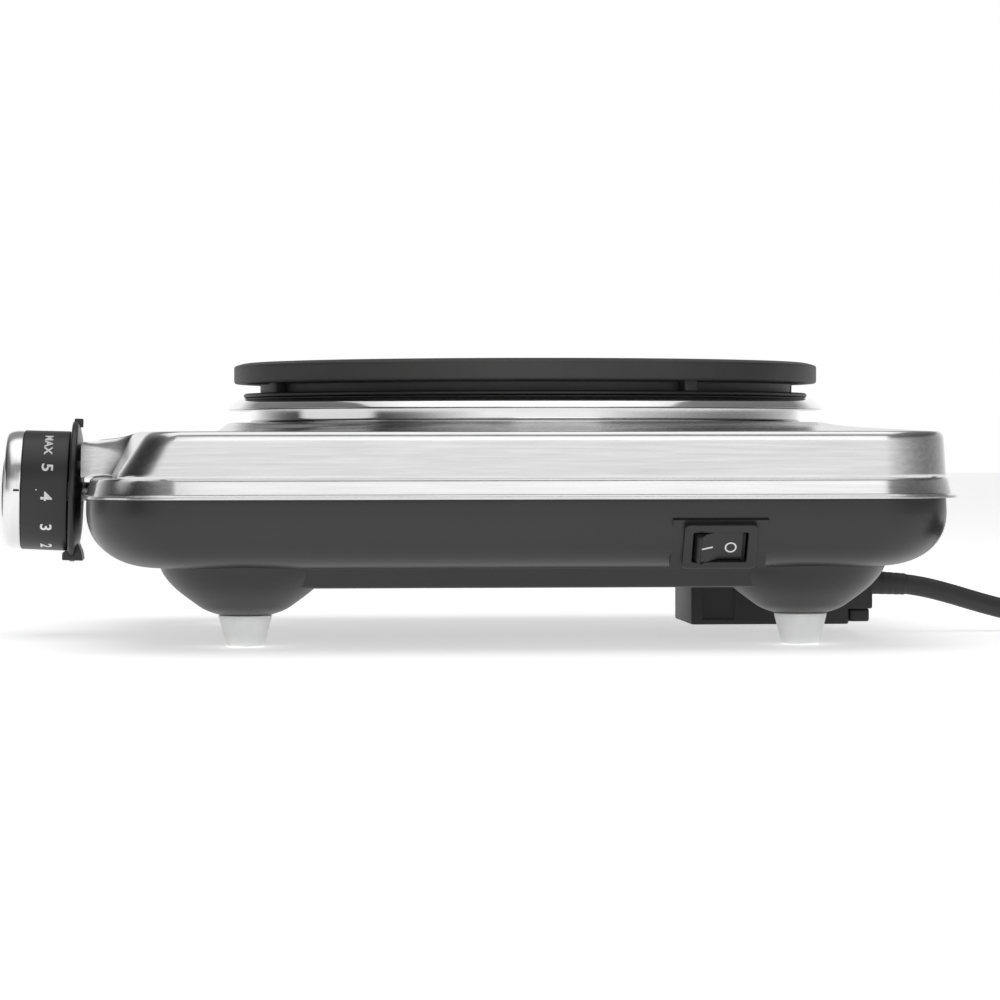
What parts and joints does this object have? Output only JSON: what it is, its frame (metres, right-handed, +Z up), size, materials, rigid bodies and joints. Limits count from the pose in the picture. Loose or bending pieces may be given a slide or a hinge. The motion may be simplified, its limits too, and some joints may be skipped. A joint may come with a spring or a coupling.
{
  "type": "hot plate burner",
  "caption": "Electric hot plate with one round cast-iron plate, a brushed steel cover on a black tub, a front dial, a side rocker switch and a coiled mains cord.",
  "frame": {"origin": "on the floor, under the middle of the box round the body and its dial, without the cord", "axes": "+Z up, -Y towards the front with the dial, +X to the side with the rocker switch"},
  "size_m": [0.23, 0.4312, 0.0858],
  "materials": {
    "cast_iron": "seasoned black cast iron, turned top",
    "ceramic": "bisque filler and beads",
    "resistance_wire": "dull resistance wire",
    "plated_steel": "zinc plated",
    "black_disc": "matt black enamel",
    "polished_steel": "bright polished stainless steel",
    "brushed_cover": "fine brushed stainless steel",
    "base_black": "satin black",
    "silicone_white": "translucent white silicone",
    "dial_black": "fine satin black with printed white scale",
    "chrome_cap": "satin chrome plate",
    "gloss_black": "gloss black",
    "phenolic": "cream phenolic",
    "brass_tabs": "tinned brass",
    "switch_black": "black nylon",
    "terminal_white": "white nylon",
    "lead_skin": "silicone insulated wire",
    "box_black": "grained black",
    "cord_rubber": "black rubber sheath",
    "tie_black": "black hook and loop tie",
    "plug_black": "moulded black",
    "pin_nickel": "nickel plated brass"
  },
  "bodies": {
    "housing": {"hotplate": "cast_iron", "ceramic_filler": "ceramic", "heating_coils": "resistance_wire", "heat_shield": "plated_steel", "element_pins": "plated_steel", "pin_insulators": "ceramic", "plate_stud": "plated_steel", "support_bridge": "plated_steel", "stud_washer": "plated_steel", "stud_nut": "plated_steel", "spacer_disc": "black_disc", "trim_ring": "polished_steel", "cover": "brushed_cover", "cover_posts": "plated_steel", "base_tub": "base_black", "foot_front_right": "silicone_white", "foot_front_left": "silicone_white", "foot_rear_right": "silicone_white", "foot_rear_left": "silicone_white", "foot_screws": "plated_steel", "bezel": "dial_black", "bezel_screws": "plated_steel", "thermostat_body": "phenolic", "thermostat_bracket": "plated_steel", "thermostat_tabs": "brass_tabs", "switch_frame": "switch_black", "switch_tabs": "brass_tabs", "terminal_block": "terminal_white", "terminal_screws": "brass_tabs", "earth_bolt": "plated_steel", "inner_leads": "lead_skin", "cord_box": "box_black", "cord_box_screws": "plated_steel", "cord_clamp": "box_black", "clamp_screws": "plated_steel", "strain_relief": "cord_rubber", "cord_lead": "cord_rubber", "cord_coil": "cord_rubber", "cord_tail": "cord_rubber", "coil_tie": "tie_black", "plug_body": "plug_black", "plug_pins": "pin_nickel"},
    "dial": {"dial_ring": "dial_black", "dial_cap": "chrome_cap", "dial_badge": "gloss_black", "dial_clip": "plated_steel", "thermostat_shaft": "plated_steel"},
    "rocker": {"switch_rocker": "switch_black"}
  },
  "joints": [
    {"name": "dial_turn", "type": "hinge", "parent": "housing", "child": "dial", "pos_m": [0, -0.122, 0.0455], "axis": [0, 0.9994, -0.0349], "range_deg": [0, 320]},
    {"name": "rocker_tip", "type": "hinge", "parent": "housing", "child": "rocker", "pos_m": [0.10775, 0.07001, 0.03163], "axis": [-0.5299, 0, -0.848], "range_deg": [0, 20]}
  ]
}
